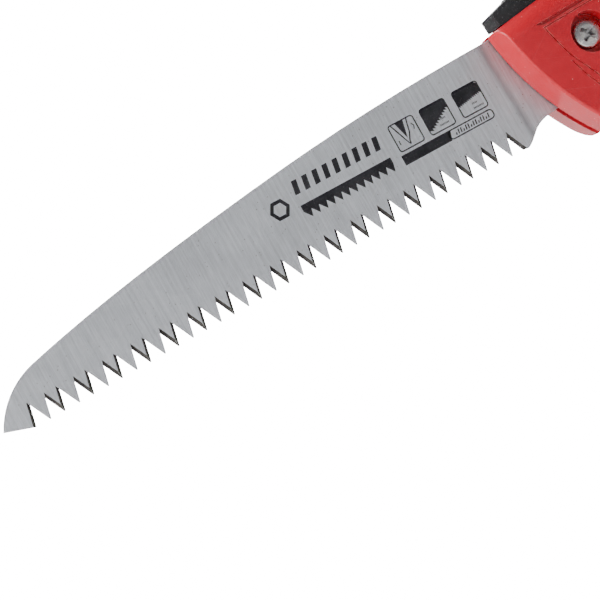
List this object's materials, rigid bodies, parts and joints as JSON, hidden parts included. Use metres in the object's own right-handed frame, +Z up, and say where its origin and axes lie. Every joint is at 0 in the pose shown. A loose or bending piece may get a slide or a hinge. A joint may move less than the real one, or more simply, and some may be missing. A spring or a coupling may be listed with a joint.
{
  "type": "folding pruning saw",
  "caption": "Folding pruning saw: a pull-cut blade with bevelled teeth folds into a slotted two-shell handle and is held open by a sprung lever on the back.",
  "frame": {"origin": "centre of the lanyard hole through the butt of the handle, half way between the flanks", "axes": "+X along the open saw from the blade's tip to the butt, +Y through the lanyard hole from the flank with the screw head to the flank with the nut, +Z up from the teeth to the back"},
  "size_m": [0.4253, 0.0246, 0.0573],
  "materials": {
    "blade_steel": "satin, brushed across the width",
    "red_shell": "satin moulded plastic",
    "black_grip": "matt soft moulding",
    "lever_plastic": "fine moulded texture",
    "bright_plate": "bright nickel plate",
    "hardware_steel": "turned steel",
    "black_screw": "blackened steel"
  },
  "bodies": {
    "handle": {"near_shell": "red_shell", "far_shell": "red_shell", "near_grip": "black_grip", "far_grip": "black_grip", "back_grip": "black_grip", "pivot_screw": "bright_plate", "pivot_nut": "bright_plate", "spring_washer": "bright_plate", "pivot_bushing": "hardware_steel", "near_washer": "hardware_steel", "far_washer": "hardware_steel", "lever_pin": "hardware_steel", "lock_spring": "hardware_steel", "stop_pin": "hardware_steel", "shell_screws": "black_screw", "lanyard_sleeve": "bright_plate"},
    "blade": {"blade": "blade_steel"},
    "lever": {"lock_lever": "lever_plastic", "lock_pawl": "hardware_steel"}
  },
  "joints": [
    {"name": "blade_fold", "type": "hinge", "parent": "handle", "child": "blade", "pos_m": [-0.2085, 0, -0.003], "axis": [0, -1, 0], "range_deg": [0, 172]},
    {"name": "lever_rock", "type": "hinge", "parent": "handle", "child": "lever", "pos_m": [-0.2005, 0, 0.0127], "axis": [0, -1, 0], "range_deg": [0, 5.2], "stiffness_Nm_per_rad": 0.05, "springref_deg": 34.38, "deforming": ["lock_spring"]}
  ]
}
